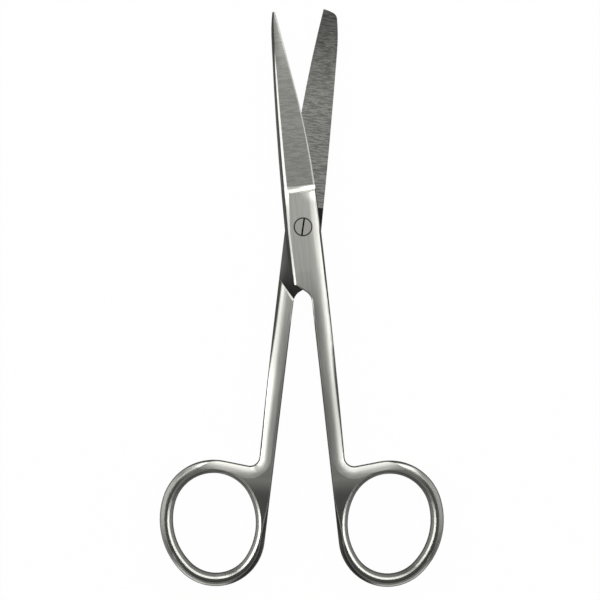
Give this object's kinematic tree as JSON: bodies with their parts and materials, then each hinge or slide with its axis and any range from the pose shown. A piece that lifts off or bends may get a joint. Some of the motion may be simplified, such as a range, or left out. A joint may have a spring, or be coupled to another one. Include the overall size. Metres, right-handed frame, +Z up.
{
  "type": "surgical scissors",
  "caption": "Straight operating scissors with one sharp and one blunt tip, hollow-ground blades, a flush slotted pivot screw and oval finger rings.",
  "frame": {"origin": "on the axis of the pivot screw, in the plane of the lower half's outer face, on which the scissors lie", "axes": "+Z up along the pivot axis, +Y towards the tips midway between the blades, +X to the finger ring of the sharp-tipped half"},
  "size_m": [0.0706, 0.1436, 0.0049],
  "materials": {
    "upper_half_steel": "satin-ground stainless steel",
    "lower_half_steel": "satin-ground stainless steel",
    "screw_steel": "fine-turned stainless steel"
  },
  "bodies": {
    "lower": {"blunt_half": "lower_half_steel", "pivot_screw": "screw_steel"},
    "upper": {"sharp_half": "upper_half_steel"}
  },
  "joints": [
    {"name": "pivot", "type": "hinge", "parent": "lower", "child": "upper", "pos_m": [0, 0, 0.00245], "axis": [0, 0, 1], "range_deg": [-13.2, 131]}
  ]
}
